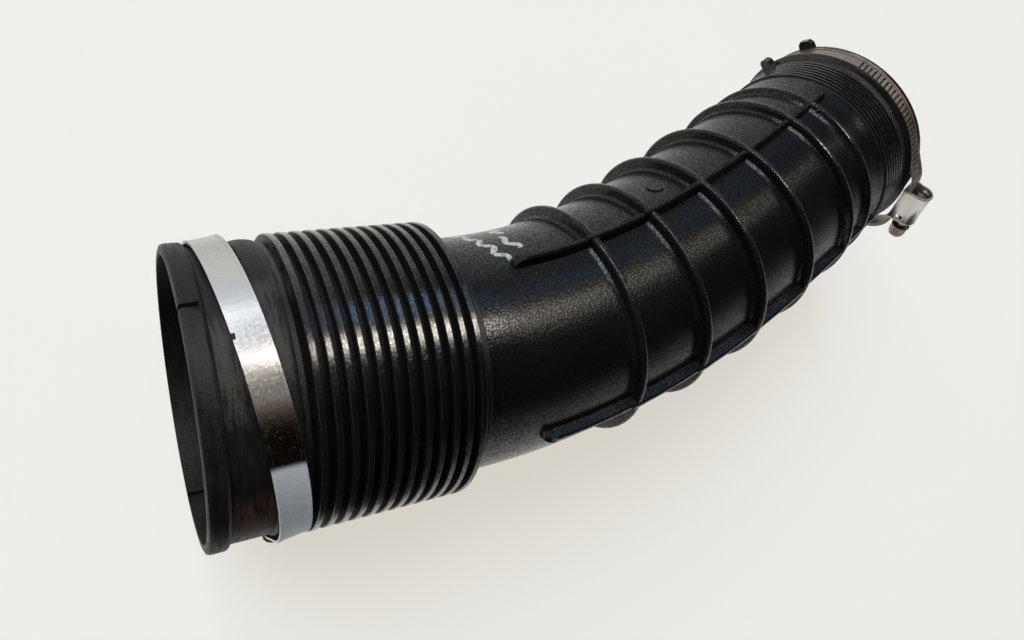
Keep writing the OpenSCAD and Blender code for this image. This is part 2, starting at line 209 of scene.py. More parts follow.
def make_moulded_grain():
    tree, given, out = new_group(
        "moulded_grain",
        [("Size", "Float", 1.0), ("Pebbles", "Float", 0.6)],
        [("Height", "Float"), ("Speckle", "Float")])
    place = add_node(tree, "TexCoord").outputs["Object"]
    scale = arithmetic(tree, "DIVIDE", PER_METRE, given["Size"])
    cells = add_node(tree, "TexVoronoi", {"feature": "F1"},
                     Vector=place, Scale=scale, Randomness=1.0)
    fine = noise(tree, place, arithmetic(tree, "MULTIPLY", scale, FINER), 2.0, 0.7)
    pebble = arithmetic(tree, "SUBTRACT", 1.0, cells.outputs["Distance"])
    rest = arithmetic(tree, "SUBTRACT", 1.0, given["Pebbles"])
    height = arithmetic(tree, "MULTIPLY_ADD", pebble, given["Pebbles"],
                        arithmetic(tree, "MULTIPLY", fine, rest))
    tree.links.new(height, out["Height"])
    tree.links.new(soft_step(tree, fine, 0.5, 0.72), out["Speckle"])
    return tree


MOULDED_GRAIN = make_moulded_grain()
print("group:", MOULDED_GRAIN.name)

# %% [markdown]
# ## Worn edges, with painted crest highlights
# Handling rubs the crests of ribs, the rim of the mouth and the corners of the pressed steel. A
# rounded normal differs from the true one only near an edge, so the difference of the two is a mask
# for edges that needs no painting. Noise breaks it up, because wear is never even. The foot of a
# rib is such an edge as well, but nothing rubs it, so places that see little of the sky stay out.
# On the tube and the cuffs the pale colour laid on this mask is partly wear and partly a painted
# highlight along the crests.

# %% Group: worn edges and painted crest highlights
BEVEL_SAMPLES, SKY_SAMPLES = 4, 6
SAME_NORMAL, EDGE_NORMAL = 0.985, 0.86  # cosines between the true and the rounded normal


def open_sky(tree, reach):
    """How much of the sky a point sees within its reach, from 0 to 1."""
    made = add_node(tree, "AmbientOcclusion", {"samples": SKY_SAMPLES, "only_local": True},
                    Distance=reach)
    return made.outputs["AO"]


def make_worn_edges():
    tree, given, out = new_group(
        "worn_edges_and_sheen",
        [("Reach", "Float", 0.6), ("Amount", "Float", 0.6)],
        [("Mask", "Float")])
    rounded = add_node(tree, "Bevel", {"samples": BEVEL_SAMPLES},
                       Radius=arithmetic(tree, "MULTIPLY", given["Reach"], MM))
    true_normal = add_node(tree, "NewGeometry").outputs["Normal"]
    likeness = vector_maths(tree, "DOT_PRODUCT", rounded.outputs[0], true_normal)["Value"]
    edge = soft_step(tree, likeness, SAME_NORMAL, EDGE_NORMAL)
    place = add_node(tree, "TexCoord").outputs["Object"]
    kept = soft_step(tree, noise(tree, place, 420.0, 4.0, 0.6), 0.3, 0.75)
    seen = open_sky(tree, arithmetic(tree, "MULTIPLY", given["Reach"], 2 * MM))
    open_air = soft_step(tree, seen, 0.6, 0.85)
    mask = arithmetic(tree, "MULTIPLY", arithmetic(tree, "MULTIPLY", edge, kept), open_air)
    tree.links.new(arithmetic(tree, "MULTIPLY", mask, given["Amount"], clamp=True), out["Mask"])
    return tree


WORN_EDGES_AND_SHEEN = make_worn_edges()
print("group:", WORN_EDGES_AND_SHEEN.name)

# %% [markdown]
# ## Dust and grime
# Years under a bonnet leave a brown film. It stays where a cloth can't reach: at the foot of ribs
# and between fins. How much of the sky a point sees tells how deep it lies, so ambient occlusion
# makes that mask, and a large soft noise adds the cloudy film on open faces.

# %% Group: grime
def make_grime():
    tree, given, out = new_group(
        "grime",
        [("Depth", "Float", 3.0), ("In Corners", "Float", 0.6), ("On Faces", "Float", 0.3),
         ("Patch Size", "Float", 18.0)],
        [("Mask", "Float")])
    place = add_node(tree, "TexCoord").outputs["Object"]
    seen = open_sky(tree, arithmetic(tree, "MULTIPLY", given["Depth"], MM))
    corner = soft_step(tree, seen, 0.75, 0.2)
    cloud_scale = arithmetic(tree, "DIVIDE", PER_METRE, given["Patch Size"])
    film = soft_step(tree, noise(tree, place, cloud_scale, 5.0, 0.62), 0.42, 0.7)
    both = arithmetic(tree, "MULTIPLY_ADD", corner, given["In Corners"],
                      arithmetic(tree, "MULTIPLY", film, given["On Faces"]), clamp=True)
    tree.links.new(both, out["Mask"])
    return tree


GRIME = make_grime()
print("group:", GRIME.name)

# %% [markdown]
# ## Rolled and rubbed steel
# Strip steel is rolled, which leaves lines along its length, and use adds dull clouds and a few
# scratches. Noise that is stretched along the strip gives the lines. The group takes unrolled
# coordinates, so that the lines follow the band round the duct.

# %% Group: rolled steel
ROLLED_STRETCH = (6.0, 0.09, 6.0)  # the noise is long round the duct and fine across the strip


def make_rolled_steel():
    tree, given, out = new_group(
        "rolled_steel",
        [("Unrolled", "Vector", (0, 0, 0)), ("Lines", "Float", 0.5), ("Clouds", "Float", 0.5)],
        [("Height", "Float"), ("Dull", "Float"), ("Stain", "Float")])
    stretched = vector_maths(tree, "MULTIPLY", given["Unrolled"], ROLLED_STRETCH)["Vector"]
    lines = noise(tree, stretched, 1.0, 3.0, 0.6)
    cloud = noise(tree, given["Unrolled"], 0.22, 5.0, 0.68)
    spots = noise(tree, given["Unrolled"], 1.3, 4.0, 0.7)
    height = arithmetic(tree, "MULTIPLY", lines, given["Lines"])
    dull = arithmetic(tree, "MULTIPLY", soft_step(tree, cloud, 0.4, 0.68), given["Clouds"])
    stain = arithmetic(tree, "MULTIPLY", soft_step(tree, spots, 0.6, 0.78), given["Clouds"])
    for name, value in (("Height", height), ("Dull", dull), ("Stain", stain)):
        tree.links.new(value, out[name])
    return tree


ROLLED_STEEL = make_rolled_steel()
print("group:", ROLLED_STEEL.name)

# %% [markdown]
# ## A base for each finish
# Every finish ends in one shader, and the sockets that are the same all over the surface are set on
# it directly. This helper makes the material and hands back its tree and shader.

# %% Helper for materials
def new_finish(name, **plain):
    material = bpy.data.materials.new(name)
    material.use_nodes = True
    tree = material.node_tree
    shader = tree.nodes["Principled BSDF"]
    set_inputs(tree, shader, **plain)
    return material, tree, shader


def bump(tree, height, depth_mm, strength=1.0):
    made = add_node(tree, "Bump", Height=height, Distance=depth_mm * MM, Strength=strength)
    return made.outputs[0]


def near(tree, value, middle, half, fade):
    """1 where value is within half of middle, falling to 0 over fade more."""
    away = arithmetic(tree, "ABSOLUTE", arithmetic(tree, "SUBTRACT", value, middle))
    return soft_step(tree, away, half + fade, half)


print("materials can be made")

# %% [markdown]
# ## Glossy black plastic for the tube
# The hard tube is a glass filled plastic. It is nearly black, fairly glossy and finely pebbled, so
# that its highlight breaks into warm sparks. The coat gives the sparks: its weight follows the
# height of the grain, so only the tops of the pebbles are glossy, and dust takes the gloss away.
# Brown dust sits at the foot of the hoops and blades. The crests are a little paler, partly from
# rubbing and partly as a painted highlight along the hoops and blades.

# %% Finish: tube
TUBE_BLACK, TUBE_DUST = (0.006, 0.006, 0.0062, 1), (0.021, 0.016, 0.012, 1)
# The last colour here is the pale crest: partly wear, partly a painted highlight
TUBE_SPECK, TUBE_RUBBED_AND_SHEEN = (0.04, 0.037, 0.033, 1), (0.045, 0.044, 0.044, 1)


def make_tube_finish():
    material, tree, shader = new_finish("tube_plastic", IOR=1.46, Specular_IOR_Level=0.14,
                                        Coat_Roughness=0.16, Coat_IOR=1.46)
    grain = use_group(tree, MOULDED_GRAIN, Size=0.78, Pebbles=0.6)
    wear = use_group(tree, WORN_EDGES_AND_SHEEN, Reach=0.7, Amount=0.8)["Mask"]
    dirt = use_group(tree, GRIME, Depth=4.5, In_Corners=0.8, On_Faces=0.2, Patch_Size=30.0)["Mask"]
    colour = mix_colours(tree, dirt, TUBE_BLACK, TUBE_DUST)
    specks = arithmetic(tree, "MULTIPLY", grain["Speckle"], 0.12)
    colour = mix_colours(tree, specks, colour, TUBE_SPECK)
    # Paler crests: partly rubbed, partly a painted highlight along the hoops and blades
    colour = mix_colours(tree, wear, colour, TUBE_RUBBED_AND_SHEEN)
    rough = arithmetic(tree, "MULTIPLY_ADD", dirt, 0.14, 0.2)
    rough = arithmetic(tree, "MULTIPLY_ADD", wear, 0.08, rough)
    sparks = soft_step(tree, grain["Height"], 0.5, 0.62, 0.08, 0.85)
    clean = arithmetic(tree, "SUBTRACT", 1.0, arithmetic(tree, "MULTIPLY", dirt, 1.2), clamp=True)
    set_inputs(tree, shader, Base_Color=colour, Roughness=rough,
               Normal=bump(tree, grain["Height"], 0.115),
               Coat_Weight=arithmetic(tree, "MULTIPLY", sparks, clean))
    return material


TUBE_FINISH = make_tube_finish()
print("finish:", TUBE_FINISH.name)

# %% [markdown]
# ## Soft rubber for the cuffs
# The cuffs are a soft rubbery plastic. Their highlights are broader than the tube's, and they hold
# a brown film. The fins' flat tops are rubbed smooth and shine, while the grooves stay dull. The
# area about the clamp's seat is the dirtiest, because nobody wipes under a clamp. Single stains and
# pale rubs are listed with the place of each: its distance along the duct, its angle round it, and
# half its size both ways. Pale edges are partly wear and partly a painted highlight along the
# crests, and they are strongest on the small cuff's grip ribs.

# %% Finish: cuffs
WIPE_STRETCH = (0.9, 0.12, 0.5)
FADE_MM, FADE_DEGREES = 3.0, 9.0  # how far a stain fades along the duct and round it
# Pale edge colour: partly worn rubber, partly a painted highlight along the crests
WORN_RUBBER_AND_SHEEN = (0.13, 0.112, 0.098, 1)


def make_cuff_finish(name, place, base, film, film_from, film_to, top_radius, worn, stains=()):
    material, tree, shader = new_finish(name, IOR=1.48, Specular_IOR_Level=0.2,
                                        Coat_Roughness=0.16, Coat_IOR=1.5)
    origin, heading = place
    at = use_group(tree, ROUND_THE_LINE, Origin=origin, Heading=heading)
    grain = use_group(tree, MOULDED_GRAIN, Size=0.9, Pebbles=0.5)
    wear = use_group(tree, WORN_EDGES_AND_SHEEN, Reach=0.35, Amount=worn)["Mask"]
    dirt = use_group(tree, GRIME, Depth=4.0, In_Corners=0.3, On_Faces=0.35, Patch_Size=12.0)["Mask"]
    seat = near(tree, at["Along"], (film_from + film_to) / 2, (film_to - film_from) / 2, FADE_MM)
    crest = soft_step(tree, at["Radius"], top_radius - 0.5, top_radius - 0.1)
    streaks = vector_maths(tree, "MULTIPLY", at["Unrolled"], WIPE_STRETCH)["Vector"]
    wipes = noise(tree, streaks, 1.0, 5.0, 0.65)
    wiped = arithmetic(tree, "MULTIPLY_ADD", soft_step(tree, wipes, 0.36, 0.66), 0.75, 0.15)
    on_seat = arithmetic(tree, "MULTIPLY", seat, wiped)
    off_crest = arithmetic(tree, "SUBTRACT", 1.0, arithmetic(tree, "MULTIPLY", crest, 0.8))
    share = arithmetic(tree, "MULTIPLY",
                       arithmetic(tree, "MULTIPLY_ADD", dirt, 0.5, on_seat, clamp=True), off_crest)
    colour = mix_colours(tree, share, (*base, 1), (*film, 1))
    blotchy = soft_step(tree, wipes, 0.4, 0.56, 0.1, 1.0)
    for along, half_along, angle, half_angle, tint in stains:
        spot = arithmetic(tree, "MULTIPLY",
                          near(tree, at["Along"], along, half_along, FADE_MM),
                          near(tree, at["Angle"], angle, half_angle, FADE_DEGREES))
        spot = arithmetic(tree, "MULTIPLY", spot, blotchy)
        colour = mix_colours(tree, spot, colour, (*tint, 1))
    # Pale edges: partly wear, partly a painted highlight along the fin and rib crests
    colour = mix_colours(tree, wear, colour, WORN_RUBBER_AND_SHEEN)
    rough = arithmetic(tree, "MULTIPLY_ADD", share, 0.2, 0.38)
    rough = arithmetic(tree, "SUBTRACT", rough, arithmetic(tree, "MULTIPLY", crest, 0.22))
    height = arithmetic(tree, "MULTIPLY_ADD", wipes, 0.4, grain["Height"])
    gloss = soft_step(tree, grain["Height"], 0.42, 0.66, 0.35, 1.0)
    set_inputs(tree, shader, Base_Color=colour, Roughness=rough,
               Normal=bump(tree, height, 0.14, 0.8),
               Coat_Weight=arithmetic(tree, "MULTIPLY", crest, gloss))
    return material


RUST_STAIN = (0.085, 0.036, 0.022)
PALE_RUB = (0.05, 0.041, 0.034)
BIG_CUFF_STAINS = [(12, 4, 139, 8, RUST_STAIN), (28, 2, 35, 14, PALE_RUB),
                   (20, 3, 66, 14, PALE_RUB), (9, 2, 78, 14, PALE_RUB)]
BIG_CUFF_FINISH = make_cuff_finish(
    "big_cuff_rubber", BIG_END, base=(0.006, 0.0055, 0.0053), film=(0.02, 0.0145, 0.0115),
    film_from=-4.0, film_to=27.0, top_radius=46.25, worn=0.3, stains=BIG_CUFF_STAINS)
# The small cuff takes the pale edge in full: on its grip ribs it is partly wear, partly a painted
# highlight
SMALL_CUFF_FINISH = make_cuff_finish(
    "small_cuff_rubber", SMALL_END, base=(0.008, 0.0074, 0.007), film=(0.042, 0.031, 0.027),
    film_from=15.0, film_to=29.0, top_radius=41.8, worn=1.0)
print("finishes:", BIG_CUFF_FINISH.name, SMALL_CUFF_FINISH.name)

# %% [markdown]
# ## Steel for the clamps
# The strip is bright where it was handled and dull elsewhere. The big band has a matt, paler patch
# with a brown smear next to it, dull haze in a few places, and a speck of ink. The small band is
# tarnished all over. One recipe serves all of them, with the tint, the tarnish and the marks as its
# values. A mark is an arc round the duct: where it starts and ends, and how far it fades, all in
# degrees.

# %% Finish: steel
HAZE, WORN_STEEL, INK = (0.2, 0.15, 0.11, 1), (0.8, 0.79, 0.76, 1), (0.01, 0.01, 0.012, 1)
ETCHED_DARK, ETCHED_PALE = (0.88, 0.89, 0.91, 1), (0.98, 0.985, 1.0, 1)


def make_steel_finish(name, place, tint, tarnish, dullness, gloss, marks=(), inks=()):
    material, tree, shader = new_finish(name, Metallic=1.0)
    origin, heading = place
    at = use_group(tree, ROUND_THE_LINE, Origin=origin, Heading=heading)
    metal, patch, haze = 1.0, 0.0, 0.0
    steel = use_group(tree, ROLLED_STEEL, Unrolled=at["Unrolled"], Lines=0.6, Clouds=dullness)
    wear = use_group(tree, WORN_EDGES_AND_SHEEN, Reach=0.3, Amount=0.6)["Mask"]
    stain = arithmetic(tree, "MULTIPLY_ADD", steel["Dull"], 0.45, steel["Stain"])
    rough = arithmetic(tree, "MULTIPLY_ADD", steel["Dull"], 0.14, gloss)
    broken = noise(tree, at["Unrolled"], 1.0, 6.0, 0.75)
    uneven = arithmetic(tree, "MULTIPLY_ADD", broken, 3.2, -0.95)
    for kind, start, end, fade, strength in marks:
        spot = near(tree, at["Angle"], (start + end) / 2, (end - start) / 2, fade)
        if kind == "matt":
            patch = spot
            rough = arithmetic(tree, "MULTIPLY_ADD", spot, 0.25, rough)
            stain = arithmetic(tree, "MULTIPLY", stain, arithmetic(tree, "SUBTRACT", 1.0, spot))
            metal = arithmetic(tree, "SUBTRACT", metal, arithmetic(tree, "MULTIPLY", spot, 0.85))
            continue
        # The noise is scaled by the spot, so that the speckles thin out with it
        strong = arithmetic(tree, "MULTIPLY", spot, strength)
        spot = arithmetic(tree, "MULTIPLY", strong, uneven, clamp=True)
        if kind == "smear":
            stain = arithmetic(tree, "ADD", spot, stain)
        else:
            haze = arithmetic(tree, "MAXIMUM", spot, haze)
            metal = arithmetic(tree, "SUBTRACT", metal, spot, clamp=True)
    stain = arithmetic(tree, "MINIMUM", stain, 1.0)
    colour = mix_colours(tree, stain, (*tint, 1), (*tarnish, 1))
    colour = mix_colours(tree, haze, colour, HAZE)
    etched = soft_step(tree, broken, 0.35, 0.65)
    colour = mix_colours(tree, patch, colour, mix_colours(tree, etched, ETCHED_DARK, ETCHED_PALE))
    colour = mix_colours(tree, wear, colour, WORN_STEEL)
    for along, angle in inks:
        ink = arithmetic(tree, "MULTIPLY", near(tree, at["Along"], along, 0.5, 0.6),
                         near(tree, at["Angle"], angle, 0.7, 0.9))
        ink = soft_step(tree, arithmetic(tree, "ADD", ink, broken), 0.98, 1.18)
        colour = mix_colours(tree, ink, colour, INK)
    rough = arithmetic(tree, "MULTIPLY_ADD", stain, 0.1, rough)
    set_inputs(tree, shader, Metallic=metal, Base_Color=colour, Roughness=rough,
               Normal=bump(tree, steel["Height"], 0.012, 0.5))
    return material


BIG_BAND_MARKS = [("haze", 4, 26, 14, 0.4), ("haze", 67, 71, 7, 0.4), ("haze", 86, 90, 11, 1.0),
                  ("smear", 96, 111, 9, 2.4), ("matt", 114, 159, 3.0, 1.0)]
BIG_BAND_INKS = [(10.8, 69)]
BIG_BAND_FINISH = make_steel_finish(
    "big_band_steel", BIG_END, tint=(0.56, 0.555, 0.545), tarnish=(0.035, 0.024, 0.017),
    dullness=0.12, gloss=0.25, marks=BIG_BAND_MARKS, inks=BIG_BAND_INKS)
SMALL_BAND_FINISH = make_steel_finish(
    "small_band_steel", SMALL_END, tint=(0.26, 0.222, 0.185), tarnish=(0.07, 0.048, 0.033),
    dullness=0.8, gloss=0.4)
HOUSING_FINISH = make_steel_finish(
    "housing_steel", SMALL_END, tint=(0.66, 0.65, 0.62), tarnish=(0.16, 0.13, 0.1),
    dullness=0.25, gloss=0.3)
SCREW_FINISH = make_steel_finish(
    "screw_steel", SMALL_END, tint=(0.25, 0.21, 0.17), tarnish=(0.05, 0.035, 0.025),
    dullness=0.8, gloss=0.28)
print("finishes:", BIG_BAND_FINISH.name, SMALL_BAND_FINISH.name, HOUSING_FINISH.name,
      SCREW_FINISH.name)

# %% [markdown]
# ## Giving each solid its finish
# The solids keep their shape, so each one only gets its material. Its old material slots are
# cleared first, or the plain colour would still show.

# %% Dress the solids
FINISHES = {
    "duct_tube": TUBE_FINISH,
    "big_cuff": BIG_CUFF_FINISH,
    "small_cuff": SMALL_CUFF_FINISH,
    "big_clamp_band": BIG_BAND_FINISH,
    "small_clamp_band": SMALL_BAND_FINISH,
    "big_clamp_housing": HOUSING_FINISH,
    "small_clamp_housing": HOUSING_FINISH,
    "big_clamp_screw": SCREW_FINISH,
    "small_clamp_screw": SCREW_FINISH,
}
for name, finish in FINISHES.items():
    nodes[name].data.materials.clear()
    nodes[name].data.materials.append(finish)
print("dressed:", len(FINISHES), "solids")

# %% [markdown]
# ## The worm screws
# On the real clamp a screw with a coarse thread lies across the band, and its thread catches in the
# band's slots. The solid's worm is a smooth cylinder, so this piece takes its place: a turned core,
# a thread wound round it, a flange, and a hex head with chamfered corners and a screwdriver slot.
# The core and head are rings of points about one axis. The thread is a strip with a tapered section
# that follows a helix and fades out at both ends.

# %% Meshes from rings
def mesh_from_rings(rings, close_ends=True):
    """Vertices and faces of a skin over equal rings of points."""
    count = len(rings[0])
    points = [point for ring in rings for point in ring]
    faces = []
    for level in range(len(rings) - 1):
        low, high = level * count, (level + 1) * count
        for k in range(count):
            after = (k + 1) % count
            faces.append((low + k, low + after, high + after, high + k))
    if close_ends:
        faces.append(tuple(reversed(range(count))))
        faces.append(tuple(range(len(points) - count, len(points))))
    return points, faces


def add_mesh(name, points, faces):
    mesh = bpy.data.meshes.new(name)
    mesh.from_pydata([tuple(point) for point in points], [], faces)
    return mesh


def add_object(name, data):
    made = bpy.data.objects.new(name, data)
    bpy.context.scene.collection.objects.link(made)
    return made


def from_axes(x, y, z):
    return Matrix((x, y, z)).transposed().to_4x4()


def make_piece(name, parts, finish, body, smooth_angle=35):
    """One object from several (points, faces) parts, riding on a body."""
    points, faces = [], []
    for part_points, part_faces in parts:
        start = len(points)
        points.extend(part_points)
        faces.extend(tuple(start + k for k in face) for face in part_faces)
    mesh = add_mesh(name, points, faces)
    mesh.validate()
    mesh.shade_smooth()
    mesh.set_sharp_from_angle(angle=math.radians(smooth_angle))
    mesh.materials.append(finish)
    piece = add_object(name, mesh)
    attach(piece, body)
    return piece


print("mesh helpers ready")

# %% Screw shapes, in millimetres along the screw from the housing's middle
SCREW_TIP, WORM_FROM, WORM_TO, FLANGE_FROM, HEAD_FROM, HEAD_TO = -6.6, -5.6, 7.5, 12.2, 13.0, 18.2
TIP_R, CORE_R, THREAD_R, NECK_R, FLANGE_R, HEX_HALF = 1.9, 2.7, 3.5, 2.6, 4.0, 3.2
THREAD_PITCH, THREAD_START, THREAD_SHORTER = 2.2, 0.8, 2.4
THREAD_FOOT, THREAD_CREST = 0.75, 0.32  # half the thread's width at its foot and at its crest
TURN_STEPS, FADE_STEPS = 36, 12
RING_POINTS = 72


def round_ring(radius, height):
    turns = [2 * math.pi * k / RING_POINTS for k in range(RING_POINTS)]
    return [Vector((radius * math.cos(t), radius * math.sin(t), height)) for t in turns]


def hex_ring(limit, height):
    ring = []
    for k in range(RING_POINTS):
        turn = 2 * math.pi * k / RING_POINTS
        flat = HEX_HALF / math.cos((turn % (math.pi / 3)) - math.pi / 6)
        radius = min(flat, limit)
        ring.append(Vector((radius * math.cos(turn), radius * math.sin(turn), height)))
    return ring


def screw_shank():
    profile = [(TIP_R - 0.4, SCREW_TIP), (TIP_R, SCREW_TIP + 0.4), (TIP_R, WORM_FROM - 0.6),
               (CORE_R, WORM_FROM), (CORE_R, WORM_TO - 0.9), (THREAD_R, WORM_TO - 0.7),
               (THREAD_R, WORM_TO), (NECK_R, WORM_TO + 0.1), (NECK_R, FLANGE_FROM),
               (FLANGE_R - 0.2, FLANGE_FROM), (FLANGE_R, FLANGE_FROM + 0.2),
               (FLANGE_R, HEAD_FROM - 0.2), (FLANGE_R - 0.25, HEAD_FROM)]
    return mesh_from_rings([round_ring(radius, height) for radius, height in profile])


def screw_head():
    corner = HEX_HALF / math.cos(math.pi / 6)
    levels = [(corner, HEAD_FROM - 0.1), (corner, HEAD_TO - 0.6), (HEX_HALF + 0.25, HEAD_TO - 0.25),
              (HEX_HALF - 0.15, HEAD_TO)]
    return mesh_from_rings([hex_ring(limit, height) for limit, height in levels])


def screw_thread():
    turns = (WORM_TO - WORM_FROM - THREAD_SHORTER) / THREAD_PITCH
    steps = int(turns * TURN_STEPS)
    rings = []
    for k in range(steps + 1):
        turn = 2 * math.pi * k / TURN_STEPS
        height = WORM_FROM + THREAD_START + THREAD_PITCH * k / TURN_STEPS
        fade = min(1.0, k / FADE_STEPS, (steps - k) / FADE_STEPS)
        crest = CORE_R + 0.05 + (THREAD_R - CORE_R - 0.05) * fade
        foot = CORE_R - 0.3
        section = [(foot, -THREAD_FOOT), (crest, -THREAD_CREST), (crest, THREAD_CREST),
                   (foot, THREAD_FOOT)]
        rings.append([Vector((r * math.cos(turn), r * math.sin(turn), height + z))
                      for r, z in section])
    return mesh_from_rings(rings)


def cut_box(part, low, high):
    """The part without the room between two corners."""
    corners = [[Vector((x, y, z)) for x, y in ((low[0], low[1]), (high[0], low[1]),
                                               (high[0], high[1]), (low[0], high[1]))]
               for z in (low[2], high[2])]
    objects = []
    for name, (points, faces) in (("whole", part), ("cutter", mesh_from_rings(corners))):
        objects.append(add_object(name, add_mesh(name, points, faces)))
    cut = objects[0].modifiers.new("cut", "BOOLEAN")
    cut.operation, cut.solver, cut.object = "DIFFERENCE", "EXACT", objects[1]
    result = objects[0].evaluated_get(bpy.context.evaluated_depsgraph_get()).to_mesh()
    points = [v.co.copy() for v in result.vertices]
    faces = [tuple(p.vertices) for p in result.polygons]
    for made in objects:
        bpy.data.objects.remove(made)
    return points, faces


SLOT_LOW, SLOT_HIGH = (-6, -0.5, HEAD_TO - 1.4), (6, 0.5, HEAD_TO + 1)
SCREW_PARTS = [screw_shank(), screw_thread(), cut_box(screw_head(), SLOT_LOW, SLOT_HIGH)]
print("screw:", sum(len(points) for points, _ in SCREW_PARTS), "points")

# %% [markdown]
# ## Putting the screws in their housings
# The record of the solids says where each screw turns and along which axis. The screw's head has a
# corner that points away from the duct, so its own X follows the direction that is square to both
# the screw and the duct's line.

# %% Place the screws
def screw_place(joint_name, duct_heading):
    """The screw's own frame, with the joint at its origin, and the body that turns."""
    joint = next(j for j in frame["joints"] if j["name"] == joint_name)
    axis = Vector(joint["axis"]).normalized()
    turn = math.radians(duct_heading)
    line = Vector((math.cos(turn), math.sin(turn), 0))
    outward = axis.cross(line).normalized()
    spread = from_axes(outward, axis.cross(outward), axis)
    place = Matrix.Translation(Vector(joint["pos_m"])) @ spread @ Matrix.Scale(MM, 4)
    return place, joint["child"]


def place_parts(place, parts):
    return [([place @ p for p in points], faces) for points, faces in parts]


BIG_BAND_LEAN = 7.8
CLAMPS = {"big": screw_place("big_screw_turn", BIG_BAND_LEAN),
          "small": screw_place("small_screw_turn", SMALL_END[1])}
for size, (place, child) in CLAMPS.items():
    screw = make_piece(size + "_worm_screw", place_parts(place, SCREW_PARTS), SCREW_FINISH, child,
                       30)
    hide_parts(size + "_clamp_screw")
print("screws placed")

# %% [markdown]
# ## The stamped housings
# A housing is one strip of steel, bent into an arch over the screw and folded shut under the band.
# Its mouth at the screw's tip stays open, and both ends have a small rolled rim. The arch is drawn
# once as an outline across the screw. Rings of that outline, first outside and then back inside,
# make the sheet with its thickness, and a window is cut where the thread can be seen at work.

# %% Housing shape and place
BARREL_R, SHEET, RIM = 3.75, 0.6, 0.3
FOLD_X, FOOT_FROM_X, FOOT_TO_X = -2.4, -3.9, -6.0
BARREL_FROM, BARREL_TO = -8.5, 8.5
WINDOW_LOW, WINDOW_HIGH = (-3.4, -8, 4.9), (-0.6, 8, 7.0)
FOOT_HALF = {"big": 4.6, "small": 4.15}  # half the width of the sheet's foot, for each band


def arch_ring(grow, foot_half, height):
    radius, foot, bottom = BARREL_R + grow, foot_half + grow, FOOT_TO_X - grow
    over = [(radius * math.cos(math.radians(a)), radius * math.sin(math.radians(a)))
            for a in range(-90, 91, 9)]
    side = [(FOLD_X, radius), (FOOT_FROM_X, foot), (bottom + 0.3, foot), (bottom, foot - 0.3)]
    outline = over + side + [(x, -y) for x, y in reversed(side)]
    return [Vector((x, y, height)) for x, y in outline]


def stamped_housing(foot_half):
    steps = [(RIM * 0.4, 0.0), (RIM, 0.25), (RIM, 0.7), (0.0, 1.1)]
    outside = [(SHEET + grow, BARREL_FROM + run) for grow, run in steps]
    outside += [(SHEET + grow, BARREL_TO - run) for grow, run in reversed(steps)]
    inside = [(0.1, BARREL_TO), (0.0, BARREL_TO - 0.2),
              (0.0, BARREL_FROM + 0.2), (0.1, BARREL_FROM)]
    levels = outside + inside + outside[:1]
    sheet = mesh_from_rings([arch_ring(grow, foot_half, height) for grow, height in levels], False)
    return cut_box(sheet, WINDOW_LOW, WINDOW_HIGH)


for size, foot_half in FOOT_HALF.items():
    parts = place_parts(CLAMPS[size][0], [stamped_housing(foot_half)])
    housing = make_piece(size + "_stamped_housing", parts, HOUSING_FINISH, "duct",
                         40)
    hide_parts(size + "_clamp_housing")
print("housings placed")

# %% [markdown]
# ## Marks that lie on the tube
# Somebody marked this duct with a paint pen, next to the tip of the upper blade. What it said is
# left out, and three wavy strokes stand for it. A stroke is a thin ribbon that has to lie on a
# curved tube, so each of its points is found by looking from outside towards the tube's line until
# the surface is met. The same search places the small drops of plastic that the mould left.

# %% Finding the surface
BEND_START, FIRST_BAY_R = 86.0, 224.0
OUTSIDE = 70  # millimetres from the line, well off the tube


def first_bay(along):
    """Point and heading of the tube's line, before the first hoop."""
    turn = max(0.0, (along - BEND_START) / FIRST_BAY_R)
    if turn == 0.0:
        return Vector((along, 0, 0)), 0.0
    x = BEND_START + FIRST_BAY_R * math.sin(turn)
    return Vector((x, FIRST_BAY_R * (1 - math.cos(turn)), 0)), turn


def surface_at(node, centre, heading, angle):
    """Point on a solid and its outward direction, seen from the line at an angle round it."""
    turn = math.radians(angle)
    inside_of_bend = Vector((-math.sin(heading), math.cos(heading), 0))
    outward = inside_of_bend * math.cos(turn) + Vector((0, 0, 1)) * math.sin(turn)
    hit, place, normal, _ = node.ray_cast((centre + outward * OUTSIDE) * MM, -outward)
    if not hit:
        raise ValueError("no surface at angle %g" % angle)
    return place, normal


print("surface at 100 mm, 30 degrees:", surface_at(nodes["duct_tube"], *first_bay(100), 30)[0])

# %% [markdown]
# A pen's line is never quite even, so its width varies a little from point to point, and both of
# its ends taper. Its white is broken by noise, so that the black grain shows through.

# %% Paint pen strokes
DEGREE_MM = 0.78  # one degree round the tube
STROKE_WIDTH, STROKE_ENDS = 2.3, 5
STROKE_SECTION = [(-1.0, -0.04), (-0.75, 0.05), (0.0, 0.08), (0.75, 0.05), (1.0, -0.04)]
PAINT, PAINT_GAP = (0.5, 0.49, 0.47, 1), (0.02, 0.02, 0.02, 1)


def make_paint_finish():
    material, tree, shader = new_finish("pen_paint", IOR=1.45)
    place = add_node(tree, "TexCoord").outputs["Object"]
    worn = noise(tree, place, 900.0, 5.0, 0.75)
    gaps = soft_step(tree, worn, 0.5, 0.62)
    set_inputs(tree, shader, Base_Color=mix_colours(tree, gaps, PAINT, PAINT_GAP),
               Roughness=soft_step(tree, worn, 0.3, 0.7, 0.55, 0.35),
               Normal=bump(tree, worn, 0.06, 0.6))
    return material


